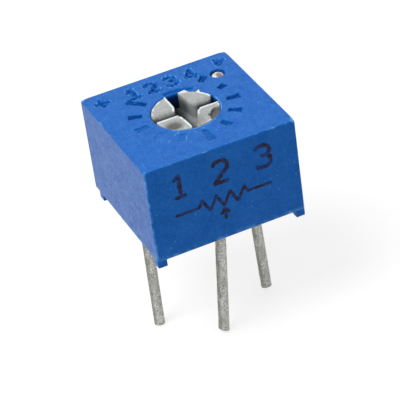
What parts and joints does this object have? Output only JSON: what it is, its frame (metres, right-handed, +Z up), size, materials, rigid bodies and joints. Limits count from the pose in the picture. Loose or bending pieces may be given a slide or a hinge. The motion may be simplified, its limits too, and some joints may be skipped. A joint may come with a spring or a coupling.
{
  "type": "trimmer potentiometer",
  "caption": "Square blue trimmer potentiometer with a cross-slotted rotor set in its numbered top and wire terminals for a circuit board.",
  "frame": {"origin": "on the rotor's axis, in the plane of the feet's undersides, which is the board's face", "axes": "+Z up along the rotor's axis, +X from terminal 1 to terminal 3, -Y to the front, where terminal 2 is"},
  "size_m": [0.007, 0.007, 0.0107],
  "materials": {
    "housing_plastic": "satin",
    "rotor_plastic": "satin",
    "seal_rubber": "matte",
    "spring_metal": "satin",
    "ceramic_plate": "matte",
    "resistive_film": "matte",
    "conductor_film": "satin",
    "tinned_wire": "satin",
    "solder": "satin",
    "resin": "gloss"
  },
  "bodies": {
    "body": {"housing": "housing_plastic", "o_ring": "seal_rubber", "substrate": "ceramic_plate", "resistive_track": "resistive_film", "end_pad_1": "conductor_film", "end_pad_3": "conductor_film", "collector_pad": "conductor_film", "pin_1": "tinned_wire", "pin_2": "tinned_wire", "pin_3": "tinned_wire", "solder_joint_1": "solder", "solder_joint_2": "solder", "solder_joint_3": "solder", "base_seal": "resin", "vent_plug": "resin"},
    "rotor_unit": {"rotor": "rotor_plastic", "wiper_contact": "spring_metal"}
  },
  "joints": [
    {"name": "rotor_turn", "type": "hinge", "parent": "body", "child": "rotor_unit", "pos_m": [0, 0, 0], "axis": [0, 0, 1], "range_deg": [-130, 130]}
  ]
}
